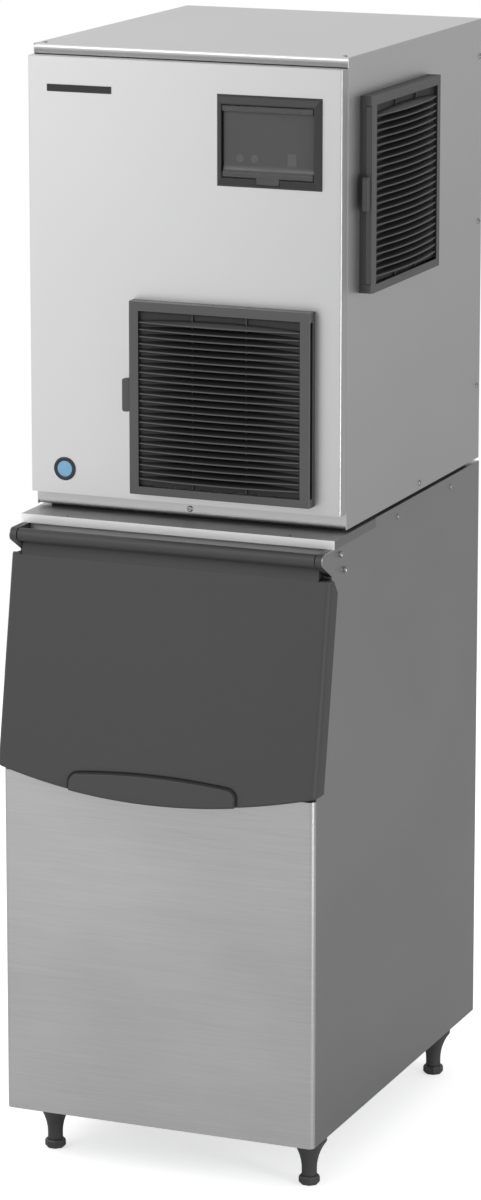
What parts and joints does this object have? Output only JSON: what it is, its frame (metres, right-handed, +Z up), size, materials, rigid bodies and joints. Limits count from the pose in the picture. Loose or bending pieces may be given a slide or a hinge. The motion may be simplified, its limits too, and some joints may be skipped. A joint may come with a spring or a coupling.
{
  "type": "flake ice machine",
  "caption": "Upright air-cooled flake ice maker in stainless steel, on an insulated storage bin with a bowed swing-up door, louvre grilles with pull-out filters, and adjustable legs.",
  "frame": {"origin": "on the floor, in the middle of the machine's footprint box", "axes": "+Z up, -Y the front with the door and controls, +X to the right of someone facing the front"},
  "size_m": [0.6, 0.8468, 1.9068],
  "materials": {
    "bin_steel": "brushed stainless steel, grain across",
    "trim_steel": "bright folded stainless steel",
    "dark_steel": "plain stainless steel",
    "head_steel": "satin stainless steel",
    "front_steel": "light satin stainless steel",
    "screw_steel": "bright pan-head screws",
    "foam": "foamed insulation",
    "liner_plastic": "white food-grade plastic",
    "frame_plastic": "dark moulded frame",
    "seal_rubber": "black foam rubber seal",
    "door_plastic": "dark grey fine-grained plastic",
    "leg_plastic": "dark grey plastic",
    "grille_plastic": "dark grey fine-grained plastic",
    "filter_mesh": "black filter screen",
    "key_plate_plastic": "dark key plate",
    "window_plastic": "smoked display window",
    "flap_plastic": "smoked see-through flap",
    "key_plastic": "grey keys",
    "box_steel": "zinc-plated sheet",
    "cast_grey": "grey painted gear case and motor",
    "unit_steel": "machined stainless steel",
    "float_foam": "closed-cell float",
    "shell_black": "black painted shell",
    "fin_metal": "aluminium fins on tubes",
    "shroud_plastic": "black plastic",
    "motor_metal": "grey painted motor",
    "fitting_brass": "brass hose fitting"
  },
  "bodies": {
    "machine": {"bin_front_panel": "bin_steel", "bin_left_panel": "bin_steel", "bin_right_panel": "bin_steel", "bin_rear_panel": "bin_steel", "bin_base": "dark_steel", "bin_insulation": "foam", "bin_liner": "liner_plastic", "bin_throat": "frame_plastic", "bin_header": "dark_steel", "bin_top_trim": "trim_steel", "bin_deck": "bin_steel", "bin_gasket": "seal_rubber", "hinge_blocks": "door_plastic", "bin_drain": "liner_plastic", "bin_screws": "screw_steel", "leg_front_left": "leg_plastic", "leg_front_right": "leg_plastic", "leg_rear_left": "leg_plastic", "leg_rear_right": "leg_plastic", "head_base": "head_steel", "head_front_panel": "front_steel", "head_right_panel": "head_steel", "head_left_panel": "head_steel", "head_rear_panel": "head_steel", "head_top_cover": "head_steel", "head_screws": "screw_steel", "front_grille": "grille_plastic", "side_grille": "grille_plastic", "control_bezel": "grille_plastic", "key_plate": "key_plate_plastic", "display_window": "window_plastic", "control_box": "box_steel", "gear_motor": "cast_grey", "evaporator": "unit_steel", "evaporator_foam": "foam", "extruding_head": "unit_steel", "ice_spout": "liner_plastic", "water_reservoir": "liner_plastic", "compressor": "shell_black", "condenser": "fin_metal", "fan_shroud": "shroud_plastic", "fan_motor": "motor_metal", "water_inlet": "fitting_brass", "drain_outlet": "liner_plastic", "cord_gland": "shroud_plastic"},
    "door": {"bin_door": "door_plastic"},
    "flap": {"control_flap": "flap_plastic"},
    "left_key": {"left_key": "key_plastic"},
    "right_key": {"right_key": "key_plastic"},
    "power_key": {"power_key": "key_plastic"},
    "front_filter": {"front_filter": "filter_mesh"},
    "side_filter": {"side_filter": "filter_mesh"},
    "fan": {"fan_blade": "shroud_plastic"},
    "auger": {"auger": "unit_steel", "cutter": "unit_steel"},
    "float": {"float": "float_foam"},
    "foot_front_left": {"foot_front_left": "leg_plastic"},
    "foot_front_right": {"foot_front_right": "leg_plastic"},
    "foot_rear_left": {"foot_rear_left": "leg_plastic"},
    "foot_rear_right": {"foot_rear_right": "leg_plastic"}
  },
  "joints": [
    {"name": "door_swing", "type": "hinge", "parent": "machine", "child": "door", "pos_m": [-0.012, -0.34557, 1.0928], "axis": [-1, 0, 0], "range_deg": [0, 110]},
    {"name": "flap_swing", "type": "hinge", "parent": "machine", "child": "flap", "pos_m": [0.141, -0.27872, 1.82225], "axis": [-1, 0, 0], "range_deg": [0, 100]},
    {"name": "left_key_press", "type": "slide", "parent": "machine", "child": "left_key", "axis": [0, 1, 0], "range_m": [0, 0.0012], "stiffness_N_per_m": 500},
    {"name": "right_key_press", "type": "slide", "parent": "machine", "child": "right_key", "axis": [0, 1, 0], "range_m": [0, 0.0012], "stiffness_N_per_m": 500},
    {"name": "power_key_press", "type": "slide", "parent": "machine", "child": "power_key", "axis": [0, 1, 0], "range_m": [0, 0.0012], "stiffness_N_per_m": 500},
    {"name": "front_filter_pull", "type": "slide", "parent": "machine", "child": "front_filter", "axis": [-1, 0, 0], "range_m": [0, 0.33]},
    {"name": "side_filter_pull", "type": "slide", "parent": "machine", "child": "side_filter", "axis": [0, -1, 0], "range_m": [0, 0.33]},
    {"name": "fan_spin", "type": "hinge", "parent": "machine", "child": "fan", "pos_m": [0.06, -0.16257, 1.329], "axis": [0, 1, 0], "continuous": true},
    {"name": "auger_spin", "type": "hinge", "parent": "machine", "child": "auger", "pos_m": [-0.162, 0.20543, 1.2565], "axis": [0, 0, 1], "continuous": true},
    {"name": "float_rise", "type": "slide", "parent": "machine", "child": "float", "axis": [0, 0, 1], "range_m": [0, 0.05]},
    {"name": "foot_front_left_turn", "type": "hinge", "parent": "machine", "child": "foot_front_left", "pos_m": [-0.248, -0.29057, 0], "axis": [0, 0, 1], "continuous": true},
    {"name": "foot_front_right_turn", "type": "hinge", "parent": "machine", "child": "foot_front_right", "pos_m": [0.224, -0.29057, 0], "axis": [0, 0, 1], "continuous": true},
    {"name": "foot_rear_left_turn", "type": "hinge", "parent": "machine", "child": "foot_rear_left", "pos_m": [-0.248, 0.31943, 0], "axis": [0, 0, 1], "continuous": true},
    {"name": "foot_rear_right_turn", "type": "hinge", "parent": "machine", "child": "foot_rear_right", "pos_m": [0.224, 0.31943, 0], "axis": [0, 0, 1], "continuous": true}
  ]
}
